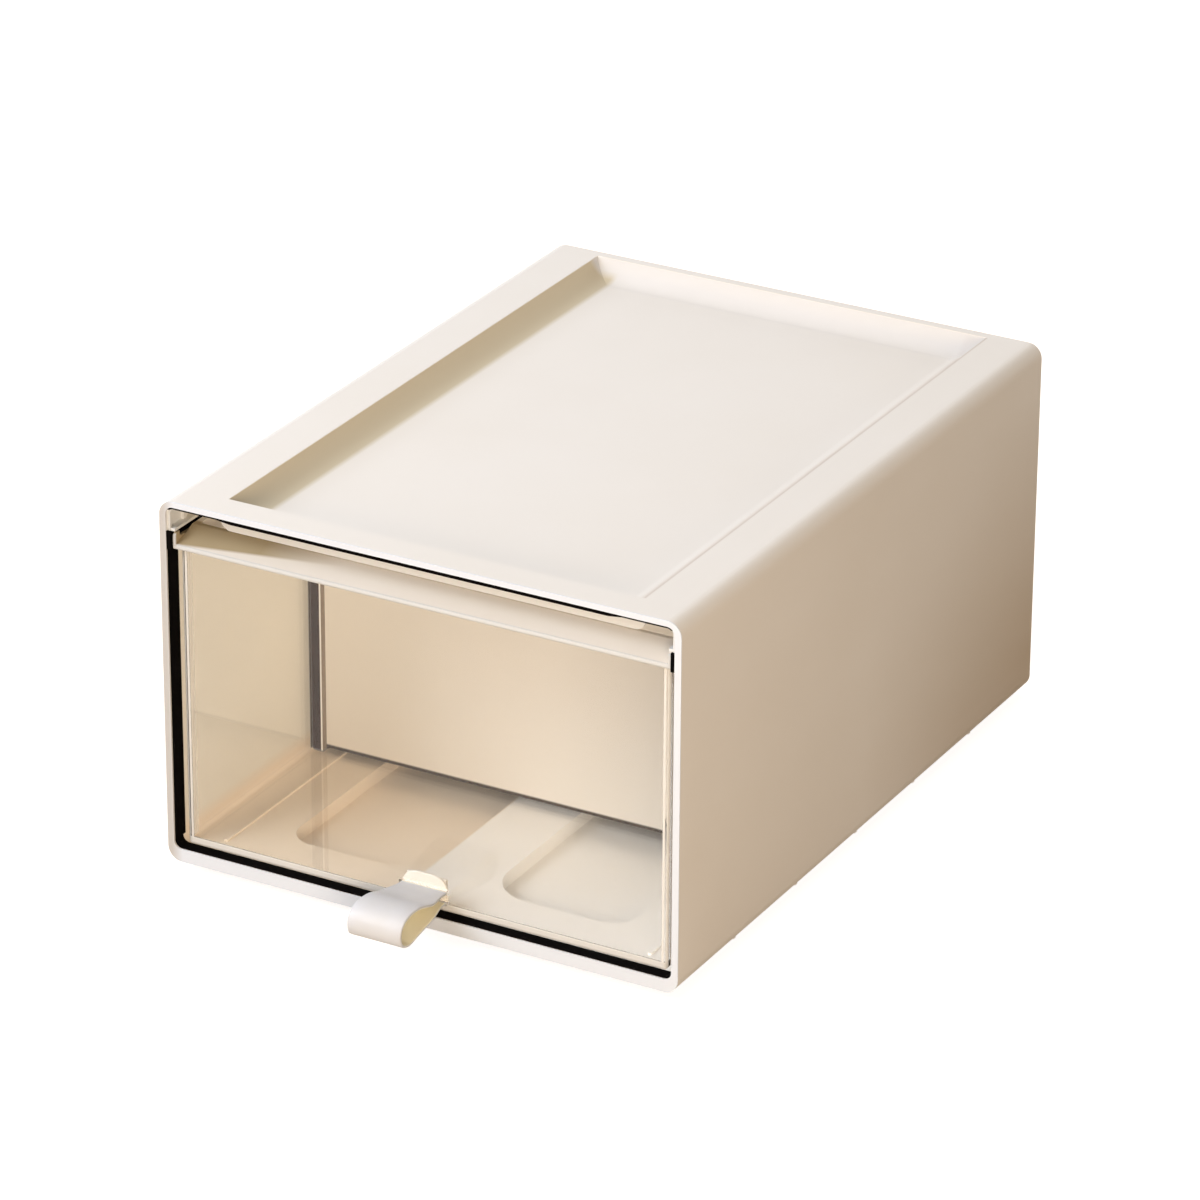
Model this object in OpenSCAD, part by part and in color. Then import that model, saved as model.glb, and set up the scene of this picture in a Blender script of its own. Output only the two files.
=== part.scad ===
// Stackable drawer box: an open-fronted moulded case, a clear drawer that slides in it,
// and a soft strap to pull the drawer by.
// Millimetres, +Z up, +Y to the back. The origin is on the standing plane, under the
// middle of the case's footprint, so the case's mouth is at y = -case_depth / 2.

/* [Case] */
// Outer width of the case
case_width = 240; // [215:1:300]
// Outer depth of the case, mouth to back
case_depth = 324; // [250:1:420]
// Outer height of the case shell, without the nesting feet
case_height = 163; // [120:1:260]
// Thickness of the case's side walls
side_wall = 3; // [2.4:0.1:3.4]
// Thickness of the case's top
top_wall = 2.5; // [2:0.1:3]
// Thickness of the case's back
back_wall = 3; // [2:0.1:5]
// Outer radius of the case's four long edges
edge_radius = 6.5; // [5:0.1:9]
// Height of the base's inner face above the shell's lower edge
base_rise = 5.8; // [5:0.1:8]
// Thickness of the base plate and of the feet's walls
base_wall = 2.6; // [2:0.1:3.2]

/* [Stacking tray in the top] */
// Depth of the tray below the top face
tray_depth = 7.6; // [5:0.1:10]
// Width of the rim on the left and the right of the tray
tray_side_rim = 24.5; // [18:0.5:32]
// Width of the rim in front of the tray
tray_front_rim = 14; // [12:0.5:24]
// Width of the rim behind the tray
tray_back_rim = 4.5; // [4:0.5:16]
// Width of the tray's concave side walls, seen from above
tray_side_sweep = 11.5; // [9:0.5:14]
// Length of the tray's concave back wall, seen from above
tray_back_sweep = 12; // [9:0.5:16]
// Length of the tray's steeper front wall, seen from above
tray_front_sweep = 8; // [7.7:0.1:10]

/* [Nesting feet] */
// How far the feet stand below the shell's lower edge
foot_height = 3.5; // [2:0.1:4.5]
// Play between the locating rib and the flat floor of the tray below it
nest_play = 1; // [0.6:0.1:3]
// Width of the locating rib that runs round the feet
nest_rib_width = 2.5; // [2:0.1:4]
// Width of the raised strip between the two hollow feet
foot_strip_width = 30; // [16:0.5:40]
// Distance of the feet's front wall behind the mouth
foot_front_inset = 29; // [24:1:48]
// Corner radius of the hollow feet's outer corners
foot_corner_radius = 12; // [8:1:20]
// Corner radius of the hollow feet beside the middle strip
foot_inner_radius = 20; // [14:1:30]

// Thickness of the webs that stiffen the base
web_thickness = 2; // [1.2:0.1:3]
// Number of rows of webs
web_rows = 5; // [3:2:9]

/* [Drawer guides in the case] */
// Distance of the guide ledges' underside below the tray's underside
ledge_drop = 3.5; // [2.6:0.1:6]
// Thickness of the guide ledges
ledge_thickness = 1.2; // [1:0.1:2.4]
// Reach of the guide ledges from the side wall
ledge_reach = 3.4; // [3.2:0.1:4.6]
// Distance of the ledges' front ends behind the mouth
ledge_front = 1.6; // [0.8:0.1:8]
// Height of the stop rib's lower edge above the ledges' underside
stop_rib_gap = 0.7; // [0.6:0.1:1]
// Rounding of the stop rib's lower corners
stop_rib_radius = 5; // [3:0.5:8]
// Height of the bead that joins the stop rib to the ledges
corner_bead = 1.3; // [1:0.1:1.6]
// Depth of the bead round the mouth's upper corners
corner_bead_depth = 1.2; // [0.8:0.1:2]
// Width of the two runners on the base
runner_width = 1.6; // [1.2:0.1:4]
// Height of the two runners on the base
runner_height = 0.9; // [0.5:0.1:1.2]
// Distance of the runners from the case's outer sides
runner_inset = 20; // [16:0.5:30]

/* [Mouth lining] */
// Thickness of the dark lining
lining_thickness = 0.4; // [0.3:0.1:0.8]
// Depth of the dark lining on the sides
lining_depth = 7.4; // [4:0.1:11]
// Depth of the dark lining on the base
base_lining_depth = 5.6; // [3:0.1:8]
// Setback of the lining from the mouth's edge
lining_setback = 0.8; // [0.2:0.1:1.6]
// Thickness of the pads that steady the drawer's rim
pad_thickness = 1.9; // [1:0.1:2]
// Depth of the pads that steady the drawer's rim
pad_depth = 26; // [8:1:40]
// Setback of the pads from the mouth's edge
pad_setback = 0.3; // [0.2:0.1:1]
// Thickness of the thin line of lining along the top's front edge
top_line_thickness = 0.8; // [0.5:0.1:1]
// Depth of the thin line of lining
top_line_depth = 1; // [0.6:0.1:2]
// Setback of the thin line from the mouth's edge
top_line_setback = 0.3; // [0.2:0.1:0.8]
// Thickness of the dark strip under the middle of the top
top_lining_thickness = 1.9; // [1:0.1:2.4]
// Length over which the strip thins out at each end
top_lining_taper = 11; // [4:0.5:20]

/* [Drawer bin] */
// Gap between the bin's sides and the case's inner walls
bin_side_gap = 3.4; // [3:0.1:3.8]
// Running gap between the runners and the bin's underside
bin_under_gap = 0.4; // [0.3:0.1:0.8]
// Setback of the bin's front panel behind the mouth
bin_setback = 4.5; // [4.3:0.1:6]
// Gap between the bin and the case's back
bin_back_gap = 4; // [3:0.5:12]
// Thickness of the bin's clear walls
bin_wall = 2.2; // [1.8:0.1:3]
// Radius of the bin's upright corners
bin_corner_radius = 3; // [2:0.1:14]
// Radius of the bin's lower edges on the left and the right
bin_edge_radius = 3.5; // [2.5:0.1:5]
// Radius of the bin's lower edges at the front and the back
bin_end_radius = 1; // [1:0.1:5]

/* [Drawer rim] */
// How far the rim's side faces stand proud of the bin's
rim_proud = 1; // [0.8:0.1:1.6]
// Setback of the rim's front lip behind the mouth
rim_setback = 1.5; // [0.8:0.1:1.8]
// Running gap between the rim's top and the ledges
rim_gap = 0.6; // [0.3:0.1:1]
// Height of the rim's sides
rim_height = 7.5; // [6.5:0.1:12]
// Width of the rim's sides
rim_width = 4.6; // [4.4:0.1:8]
// Length of the scoop's slope, lip to crest
scoop_length = 11.5; // [8:0.1:14]
// Height of the scoop's lip
lip_height = 2.3; // [1.6:0.1:3.4]
// Depth of the rim's crest and back rail
rim_back_depth = 12; // [8:0.5:20]
// Thickness of the scoop's moulded skin
scoop_skin = 2; // [1.6:0.1:3]
// Thickness of the cheeks that close the scoop's ends
cheek_thickness = 1.2; // [1:0.1:3]
// Width of the relief along the rim's sides under the ledges
relief_width = 2; // [1.4:0.1:2.4]
// Depth of the relief along the rim's sides
relief_depth = 2.4; // [0.8:0.1:3]
// Distance of the relief's front end behind the lip
relief_start = 3.2; // [2.6:0.1:6]
// Width of each stop lug on the rim's back rail
lug_width = 18; // [10:1:40]
// Distance of the stop lugs from the middle
lug_offset = 60; // [30:1:75]
// Clearance between the stop lugs and the underside of the tray
lug_gap = 0.5; // [0.3:0.1:1]

/* [Divider] */
// Distance of the divider behind the bin's front panel
divider_position = 101.5; // [60:0.5:180]
// Thickness of the divider
divider_thickness = 2.6; // [2:0.1:4]
// Height of the divider's top below the rim's underside
divider_drop = 8; // [4:0.5:60]
// Clearance of the divider in its guides
divider_gap = 0.3; // [0.2:0.1:0.6]
// Height of the divider's lower edge above the bin's floor, between its feet
divider_rise = 0.8; // [0.4:0.1:3]
// Width of the divider's two feet
divider_foot = 5; // [3:0.5:8]
// Thickness of each guide rib
guide_thickness = 3; // [1.4:0.1:4]
// Reach of the guide ribs from the bin's walls
guide_reach = 5; // [3:0.5:8]
// Width of the finger dip in the divider's top
dip_width = 70; // [40:1:110]
// Depth of the finger dip in the divider's top
dip_depth = 12; // [6:1:24]

/* [Pull strap] */
// Width of the strap's loop
strap_width = 25; // [18:0.5:40]
// Width of the strap's neck in its slots
neck_width = 21.5; // [12:0.5:36]
// Thickness of the strap
strap_thickness = 1.2; // [0.8:0.1:1.5]
// Height of the web between the strap's slots
web_height = 2.7; // [2.4:0.1:6]
// Height of each slot
slot_height = 2; // [1.8:0.1:3]
// Length that the slots have beyond the strap's neck
slot_play = 1.2; // [0.6:0.1:3]
// Height of the strap's tail above the upper slot
tail_height = 5; // [4:0.5:12]
// Thickness of the anchor bar behind the strap's tail
anchor_thickness = 1.6; // [1.2:0.1:4]
// Height of the strap's tail above the anchor bar
anchor_drop = 1.5; // [0.5:0.1:3]

/* [Hidden] */
$fn = 48;
eps = 0.01;          // overlap of cutters with open faces
over = 1;            // run-out of cutters past the case's faces

cream = [0.93, 0.90, 0.86];
clear = [0.92, 0.88, 0.80, 0.35];
dark = [0.04, 0.04, 0.04];

// The case's planes
front_y = -case_depth / 2;
shell_z = foot_height;                          // lower edge of the shell
top_z = shell_z + case_height;
base_z = shell_z + base_rise;                   // upper face of the base
half_inner = case_width / 2 - side_wall;
inner_radius = edge_radius - side_wall;
inner_top_z = top_z - top_wall;
inner_back_y = front_y + case_depth - back_wall;

// The tray's planes
tray_half = case_width / 2 - tray_side_rim;
tray_floor_z = top_z - tray_depth;
tray_under_z = tray_floor_z - top_wall;
tray_front_y = front_y + tray_front_rim;
tray_back_y = front_y + case_depth - tray_back_rim;
tray_flat_half = tray_half - tray_side_sweep;
tray_flat_front_y = tray_front_y + tray_front_sweep;
tray_flat_back_y = tray_back_y - tray_back_sweep;
nest_half = tray_flat_half - nest_play;         // outer side of the locating rib

// The guides' planes
ledge_z = tray_under_z - ledge_drop;
stop_rib_half = tray_half + top_wall;
stop_rib_front_y = tray_front_y - top_wall;
stop_rib_z = ledge_z + stop_rib_gap;
runner_z = base_z + runner_height;
runner_x = case_width / 2 - runner_inset;

// The bin's planes
bin_half = half_inner - bin_side_gap;
bin_inner_half = bin_half - bin_wall;
bin_z = runner_z + bin_under_gap;
bin_floor_z = bin_z + bin_wall;
bin_front_y = front_y + bin_setback;
bin_back_y = inner_back_y - bin_back_gap;
bin_depth = bin_back_y - bin_front_y;

// The rim's planes
rim_half = bin_half + rim_proud;
rim_inner_half = rim_half - rim_width;
rim_top_z = ledge_z - rim_gap;
rim_z = rim_top_z - rim_height;
rim_front_y = front_y + rim_setback;
rim_back_y = bin_back_y + rim_proud;
rim_rail_y = rim_back_y - rim_back_depth;
bin_top_z = rim_z + scoop_skin;                 // the bin's edge seats in the rim's groove
groove_gap = 0.1;                               // play on each side of the bin's edge
crest_y = rim_front_y + scoop_length;
lug_y = rim_rail_y + 2;

// The divider's planes
divider_y = bin_front_y + divider_position;
divider_top_z = rim_z - divider_drop;
guide_inner_half = bin_inner_half - guide_reach;

// The strap's planes
neck_low_z = bin_floor_z + (slot_height - strap_thickness) + 0.3;
web_z = neck_low_z + strap_thickness;
web_top_z = web_z + web_height;
tail_y = bin_front_y + bin_wall;                // inner face of the front panel
tail_top_z = web_top_z + slot_height + tail_height;

// The loop's middle line from the upper neck to the lower one, as [reach in front of
// the panel, height above the web's middle]
loop_points = [[0, 2], [7, 2.7], [14, 3.8], [22, 6.3], [29, 7], [34.4, 5.9], [37.5, 3.2],
               [38.4, -0.2], [37.4, -3.6], [34.6, -5.4], [30.8, -6], [25.5, -5],
               [18.5, -3.8], [11, -2.6], [5, -2.1], [0, -2]];

function smooth(a, b, c, d, t) =
    0.5 * (2 * b + (c - a) * t + (2 * a - 5 * b + 4 * c - d) * t * t
           + (3 * b - a - 3 * c + d) * t * t * t);
function curve(points, steps) =
    let (last = len(points) - 1)
    concat([for (i = [0:last - 1], k = [0:steps - 1])
                smooth(points[max(i - 1, 0)], points[i], points[i + 1],
                       points[min(i + 2, last)], k / steps)],
           [points[last]]);
function unit(v) = v / norm(v);
function side_step(points, i, distance) =
    let (d = unit(points[min(i + 1, len(points) - 1)] - points[max(i - 1, 0)]))
    points[i] + distance * [-d[1], d[0]];
function ribbon(points, thickness) =
    concat([for (i = [0:len(points) - 1]) side_step(points, i, thickness / 2)],
           [for (i = [len(points) - 1:-1:0]) side_step(points, i, -thickness / 2)]);
// Radius of an arc that is level at the bottom and has risen by rise after run
function sweep_radius(run, rise) = (run * run + rise * rise) / (2 * rise);

// A rectangle with round corners, from its lower left corner
module rounded(width, height, radius) {
    translate([radius, 0]) square([width - 2 * radius, height]);
    translate([0, radius]) square([width, height - 2 * radius]);
    for (x = [radius, width - radius], y = [radius, height - radius])
        translate([x, y]) circle(radius);
}

// A profile seen from the front, extruded from y = from to y = to
module along_depth(from, to) {
    translate([0, to, 0]) rotate([90, 0, 0]) linear_extrude(to - from) children();
}

// A profile seen from the right, extruded from x = from to x = to
module along_width(from, to) {
    translate([from, 0, 0]) rotate([90, 0, 90]) linear_extrude(to - from) children();
}

module both_sides() {
    children();
    mirror([1, 0, 0]) children();
}

// The space inside the case's walls, inset by a distance
module mouth_profile(inset = 0) {
    half = half_inner - inset;
    low = base_z + inset;
    translate([-half, low])
        rounded(2 * half, inner_top_z - inset - low, max(inner_radius - inset, 1));
}

// ---- Case ----

// The tray's hollow, or its moulded underside where skin is the wall's thickness
module tray_form(skin) {
    floor_z = tray_floor_z - skin;
    rise = tray_depth;
    intersection() {
        along_depth(tray_front_y - skin, tray_back_y + skin)
            tray_section(-tray_flat_half, tray_flat_half, floor_z, skin,
                         tray_side_sweep, tray_side_sweep);
        along_width(-tray_half - skin, tray_half + skin)
            tray_section(tray_flat_front_y, tray_flat_back_y, floor_z, skin,
                         tray_front_sweep, tray_back_sweep);
    }
}

// A flat floor from a to b between two concave walls
module tray_section(a, b, floor_z, skin, sweep_a, sweep_b) {
    radius_a = sweep_radius(sweep_a, tray_depth) + skin;
    radius_b = sweep_radius(sweep_b, tray_depth) + skin;
    height = tray_depth + skin + (skin == 0 ? over : 0);
    intersection() {
        translate([a - sweep_a - skin, floor_z])
            square([b - a + sweep_a + sweep_b + 2 * skin, height]);
        union() {
            translate([a, floor_z]) square([b - a, height]);
            translate([a, floor_z + radius_a]) circle(radius_a, $fn = 96);
            translate([b, floor_z + radius_b]) circle(radius_b, $fn = 96);
        }
    }
}

// One hollow foot seen from above, grown by skin, with wide corners beside the strip
module foot_plan(skin) {
    inner = foot_strip_width / 2 - skin;
    outer = nest_half - base_wall + skin;
    front = front_y + foot_front_inset - skin;
    back = -front;
    rin = foot_inner_radius + skin;
    rout = foot_corner_radius + skin;
    for (side = [-1, 1]) mirror([0, side < 0 ? 1 : 0]) {
        translate([inner, -eps]) square([outer - inner, back - max(rin, rout) + eps]);
        translate([inner + rin, 0]) square([outer - inner - rin - rout, back]);
        translate([inner + rin, back - rin]) circle(rin, $fn = 96);
        translate([outer - rout, back - rout]) circle(rout);
        translate([outer - rout, 0]) square([rout, back - rout]);
    }
}

// The rib that drops into the tray of the box below
module nest_rib() {
    front = tray_flat_front_y + nest_play;
    depth = tray_flat_back_y - nest_play - front;
    linear_extrude(base_z - base_wall + eps) difference() {
        translate([-nest_half, front]) rounded(2 * nest_half, depth, foot_corner_radius);
        translate([-nest_half + nest_rib_width, front + nest_rib_width])
            rounded(2 * (nest_half - nest_rib_width), depth - 2 * nest_rib_width,
                    foot_corner_radius - nest_rib_width);
    }
}

module guide_ledges() {
    both_sides() translate([half_inner - ledge_reach, front_y + ledge_front, ledge_z])
        cube([ledge_reach + eps, inner_back_y - front_y - ledge_front + eps,
              ledge_thickness]);
}

// The tray's front wall runs down into a rib that stops the drawer, and a low bead
// carries it round the corners to the ledges
module stop_rib() {
    along_depth(stop_rib_front_y, tray_front_y) {
        translate([-stop_rib_half, stop_rib_z])
            rounded(2 * stop_rib_half, inner_top_z - stop_rib_z, stop_rib_radius);
        intersection() {
            difference() {
                mouth_profile();
                mouth_profile(corner_bead);
            }
            translate([-half_inner, ledge_z])
                square([2 * half_inner, inner_top_z - ledge_z]);
        }
    }
}

// A short bead round the mouth's upper corners, behind the thin line of lining
module mouth_bead() {
    corner = half_inner - inner_radius;
    bead_y = front_y + top_line_setback + top_line_depth;
    along_depth(bead_y, bead_y + corner_bead_depth) intersection() {
        difference() {
            mouth_profile();
            mouth_profile(corner_bead);
        }
        both_sides() translate([corner, ledge_z])
            square([inner_radius, inner_top_z - ledge_z]);
    }
}

module runners() {
    both_sides() translate([runner_x - runner_width / 2, tray_front_y, base_z - eps])
        cube([runner_width, inner_back_y - tray_front_y + eps, runner_height + eps]);
}

// Stiffening webs from the skirt to the locating rib, and across the strip between
// the feet, where they reach down to the standing plane
module base_webs() {
    start = nest_half - nest_rib_width / 2;
    for (row = [1:web_rows])
        translate([0, front_y + row * case_depth / (web_rows + 1) - web_thickness / 2, 0]) {
            both_sides() translate([start, 0, shell_z])
                cube([half_inner - start + eps, web_thickness,
                      base_rise - base_wall + eps]);
            translate([-foot_strip_width / 2, 0, 0])
                cube([foot_strip_width, web_thickness, base_z - base_wall + eps]);
        }
}

module case_shell() {
    difference() {
        along_depth(front_y, -front_y) translate([-case_width / 2, shell_z])
            rounded(case_width, case_height, edge_radius);
        along_depth(front_y - over, inner_back_y) mouth_profile();
        translate([-half_inner, front_y + side_wall, shell_z - over])
            cube([2 * half_inner, case_depth - 2 * side_wall,
                  base_rise - base_wall + over]);
    }
}

module case_body() color(cream) difference() {
    union() {
        case_shell();
        tray_form(top_wall);
        stop_rib();
        mouth_bead();
        guide_ledges();
        runners();
        nest_rib();
        base_webs();
        both_sides() linear_extrude(base_z - base_wall + eps) foot_plan(base_wall);
    }
    tray_form(0);
    both_sides() translate([0, 0, base_wall])
        linear_extrude(base_rise + foot_height) foot_plan(0);
}

// The lining on the sides and the base, and the pads beside the drawer's rim
module mouth_lining() color(dark) {
    lining_y = front_y + lining_setback;
    corner_z = base_z + inner_radius;
    along_depth(lining_y, lining_y + base_lining_depth)
        lining_band(base_z, corner_z);
    along_depth(lining_y, lining_y + lining_depth) lining_band(corner_z, ledge_z);
    along_depth(front_y + pad_setback, lining_y + pad_depth)
        for (x = [-half_inner, half_inner - pad_thickness])
            translate([x, rim_z]) square([pad_thickness, ledge_z - rim_z]);
}

// The part of the lining's profile between two heights
module lining_band(from, to, thickness = lining_thickness) {
    intersection() {
        difference() {
            mouth_profile();
            mouth_profile(thickness);
        }
        translate([-half_inner, from]) square([2 * half_inner, to - from]);
    }
}

// The strip under the top, in front of the stop rib, which thins out to both corners,
// and the thin line in front of it that turns down at both corners
module top_lining() color(dark) {
    line_y = front_y + top_line_setback;
    along_depth(line_y, line_y + top_line_depth)
        lining_band(inner_top_z - 0.4 * inner_radius, inner_top_z, top_line_thickness);
    end = half_inner - inner_radius;
    inner = stop_rib_half - top_lining_taper;
    thin_z = inner_top_z - lining_thickness;
    thick_z = inner_top_z - top_lining_thickness;
    along_depth(front_y + lining_setback, stop_rib_front_y)
        polygon([[-end, inner_top_z], [-end, thin_z], [-stop_rib_half, thin_z],
                 [-inner, thick_z], [inner, thick_z], [stop_rib_half, thin_z],
                 [end, thin_z], [end, inner_top_z]]);
}

// ---- Drawer ----

// The bin's outer form, inset by the wall for its hollow
module bin_form(inset, top) {
    half = bin_half - inset;
    front = bin_front_y + inset;
    back = bin_back_y - inset;
    low = bin_z + inset;
    side_edge = max(bin_edge_radius - inset, 1);
    end_edge = max(bin_end_radius - inset, 1);
    corner = max(bin_corner_radius - inset, 0.8);
    intersection() {
        translate([0, 0, low]) linear_extrude(top - low)
            translate([-half, front])
                rounded(2 * half, back - front, corner);
        along_depth(front, back) translate([-half, low])
            rounded(2 * half, top - low + 2 * side_edge, side_edge);
        along_width(-half, half) translate([front, low])
            rounded(back - front, top - low + 2 * end_edge, end_edge);
    }
}

// Four ribs in two pairs that hold the divider's ends
module divider_guides() {
    pitch = divider_thickness / 2 + divider_gap;
    both_sides() for (y = [divider_y - pitch - guide_thickness, divider_y + pitch])
        translate([guide_inner_half, y, bin_floor_z - eps])
            cube([guide_reach + eps, guide_thickness, divider_top_z - bin_floor_z]);
}

module strap_slots() {
    half = (neck_width + slot_play) / 2;
    for (z = [web_z - slot_height, web_top_z])
        translate([-half, bin_front_y - over, z])
            cube([2 * half, bin_wall + 2 * over, slot_height]);
}

module drawer_bin() color(clear) {
    difference() {
        bin_form(0, bin_top_z);
        bin_form(bin_wall, bin_top_z + over);
        strap_slots();
    }
    divider_guides();
}

// The rim's ring seen from above, inset by a distance
module rim_ring(inset, radius) {
    translate([-rim_half + inset, bin_front_y - rim_proud + inset])
        rounded(2 * (rim_half - inset), rim_back_y - bin_front_y + rim_proud - 2 * inset,
                radius);
}

// The scoop's section: a round lip, a slope for the finger and a level crest
module scoop_section() {
    lip = lip_height / 2;
    crest_back = crest_y + scoop_skin;
    bin_grip_y = bin_front_y + bin_wall + scoop_skin;
    translate([rim_front_y + lip, rim_z + lip]) circle(lip);
    polygon([[rim_front_y + lip, rim_z], [rim_front_y, rim_z + lip],
             [rim_front_y + 0.3, rim_z + lip_height], [crest_y, rim_top_z],
             [crest_back, rim_top_z], [crest_back, rim_top_z - scoop_skin],
             [crest_y - 1, rim_top_z - scoop_skin], [bin_grip_y, bin_top_z + scoop_skin],
             [bin_grip_y, rim_z]]);
}

// Plates that close the ends of the scoop, flush with its lip and its crest
module cheeks() {
    lip = lip_height / 2;
    both_sides() along_width(rim_half - cheek_thickness, rim_half)
        polygon([[rim_front_y + lip, rim_z], [rim_front_y, rim_z + lip],
                 [rim_front_y, rim_top_z - lip], [rim_front_y + lip, rim_top_z],
                 [crest_y + eps, rim_top_z], [crest_y + eps, rim_z]]);
}

// Lugs with a steep front to catch the stop rib and a ramp behind for fitting
module stop_lugs() {
    height = tray_under_z - lug_gap - rim_top_z;
    both_sides() along_width(lug_offset - lug_width / 2, lug_offset + lug_width / 2)
        polygon([[lug_y, rim_top_z - eps], [lug_y, rim_top_z + height],
                 [lug_y + 2, rim_top_z + height], [lug_y + 7, rim_top_z - eps]]);
}

module drawer_rim() color(cream) {
    difference() {
        union() {
            translate([0, 0, rim_z]) linear_extrude(rim_height) difference() {
                rim_ring(0, bin_corner_radius + rim_proud);
                rim_ring(rim_width, max(bin_corner_radius + rim_proud - rim_width, 1));
                translate([-rim_half - over, rim_front_y - over])
                    square([2 * (rim_half + over), crest_y - rim_front_y + over]);
            }
            along_width(-rim_half, rim_half) scoop_section();
            cheeks();
            translate([-rim_inner_half - eps, rim_rail_y, rim_top_z - scoop_skin])
                cube([2 * (rim_inner_half + eps), rim_back_depth - rim_width + eps,
                      scoop_skin]);
            stop_lugs();
        }
        rim_groove();
        rim_relief();
    }
}

// The relief along the rim's upper outer edges, from behind the lip to the back rail
module rim_relief() {
    start = rim_front_y + relief_start;
    both_sides() along_width(rim_half - relief_width, rim_half + over)
        translate([start, rim_top_z - relief_depth])
            rounded(rim_rail_y - start, relief_depth + 4, 1.2);
}

// The groove in the rim's underside that takes the bin's edge
module rim_groove() {
    translate([0, 0, rim_z - over]) linear_extrude(bin_top_z - rim_z + over) difference() {
        rim_ring(rim_proud - groove_gap, bin_corner_radius + groove_gap);
        rim_ring(rim_proud + bin_wall + groove_gap,
                 max(bin_corner_radius - bin_wall, 0.8) - groove_gap);
    }
}

// A loose plate with a dip for the fingers, standing on a foot at each end
module divider() color(cream) {
    half = bin_inner_half - divider_gap;
    dip_radius = sweep_radius(dip_width / 2, dip_depth);
    along_depth(divider_y - divider_thickness / 2, divider_y + divider_thickness / 2)
        difference() {
            translate([-half, bin_floor_z])
                rounded(2 * half, divider_top_z - bin_floor_z, 2);
            translate([divider_foot - half, bin_floor_z - over])
                square([2 * (half - divider_foot), divider_rise + over]);
            translate([0, divider_top_z - dip_depth + dip_radius])
                circle(dip_radius, $fn = 96);
        }
}

module pull_strap() color("white") {
    web_middle = (web_z + web_top_z) / 2;
    rise = (web_height + strap_thickness) / 2;
    loop = [for (p = loop_points) [-p[0], p[1]]];
    neck_front = bin_front_y - eps;
    along_width(-strap_width / 2, strap_width / 2)
        translate([neck_front, web_middle]) polygon(ribbon(curve(loop, 4), strap_thickness));
    along_width(-neck_width / 2, neck_width / 2) {
        for (z = [web_z - strap_thickness, web_top_z])
            translate([neck_front, z]) square([bin_wall + strap_thickness, strap_thickness]);
        translate([tail_y, web_z - strap_thickness])
            square([strap_thickness, tail_top_z - web_z + strap_thickness]);
    }
}

// A bar on the bin's floor that clamps the strap's tail to the front panel
module strap_anchor() color(cream) {
    radius = anchor_thickness / 2 - 0.1;
    half = neck_width / 2 - anchor_thickness;
    along_width(-half, half) translate([tail_y + strap_thickness, bin_floor_z])
        rounded(anchor_thickness, tail_top_z - anchor_drop - bin_floor_z, radius);
}

case_body();
mouth_lining();
top_lining();
drawer_bin();
drawer_rim();
divider();
pull_strap();
strap_anchor();
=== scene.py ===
"""Looks of a stackable drawer box: cream moulded plastic, a clear drawer and a soft
pull strap. Everything is in metres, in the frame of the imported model."""

import math

import bmesh
import bpy
from mathutils import Matrix, Vector


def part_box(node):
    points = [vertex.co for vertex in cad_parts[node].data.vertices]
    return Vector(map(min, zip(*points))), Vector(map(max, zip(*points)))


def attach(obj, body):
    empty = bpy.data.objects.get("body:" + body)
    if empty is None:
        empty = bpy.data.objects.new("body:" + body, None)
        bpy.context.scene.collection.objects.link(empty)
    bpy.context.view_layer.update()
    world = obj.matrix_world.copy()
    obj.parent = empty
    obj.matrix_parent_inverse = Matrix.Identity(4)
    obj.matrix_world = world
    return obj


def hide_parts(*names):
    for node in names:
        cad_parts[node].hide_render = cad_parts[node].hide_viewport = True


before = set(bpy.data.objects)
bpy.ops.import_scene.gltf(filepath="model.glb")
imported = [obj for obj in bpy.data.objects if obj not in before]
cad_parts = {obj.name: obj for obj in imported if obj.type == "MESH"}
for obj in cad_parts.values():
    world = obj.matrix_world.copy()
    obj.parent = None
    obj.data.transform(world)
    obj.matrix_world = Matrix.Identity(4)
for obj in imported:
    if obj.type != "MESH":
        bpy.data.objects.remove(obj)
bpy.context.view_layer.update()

MM = 0.001


# ---- The model's boxes, read from the frame, and its inner sizes in mm ----

CASE_LOW, CASE_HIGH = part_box("case_body")
BIN_LOW, BIN_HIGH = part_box("drawer_bin")
DIVIDER_LOW, DIVIDER_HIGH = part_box("divider")
RIM_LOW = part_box("drawer_rim")[0]
STRAP_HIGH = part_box("pull_strap")[1]
GUIDE_WALL = 2.2                # the bin's wall, where the guides join it
GUIDE_REACH = 5.0               # how far the guides stand out from it
FOOT_STRIP = 15.0               # half the strip between the base's two hollow feet
TRAY_HALF = 95.5                # half the width of the tray in the top
TRAY_SWEEP = 11.5               # width of its concave side walls
TRAY_FRONT = 14.0               # the case's top in front of the tray
TRAY_BACK = 4.5                 # and behind it
DIVIDER_RISE = 0.8              # the divider's lower edge above the drawer's floor
HOLLOW_MIDDLE = 78.0            # the middle and half of the case's inner height
HOLLOW_HALF = 77.5
SCOOP_LEAN = 0.05               # slope of the shade in the rim's scoop
GUIDE_END = BIN_HIGH.x - (GUIDE_WALL + GUIDE_REACH) * MM    # the guides' ends, in metres


# ---- Camera ----

LENS_MM = 183.68
SENSOR_MM = 36.0
AZIMUTH = math.radians(29.018)
ELEVATION = math.radians(24.932)
ROLL = math.radians(0.3047)
CAMERA_PLACE = Vector((1.1304, -2.0486, 1.1715))


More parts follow.
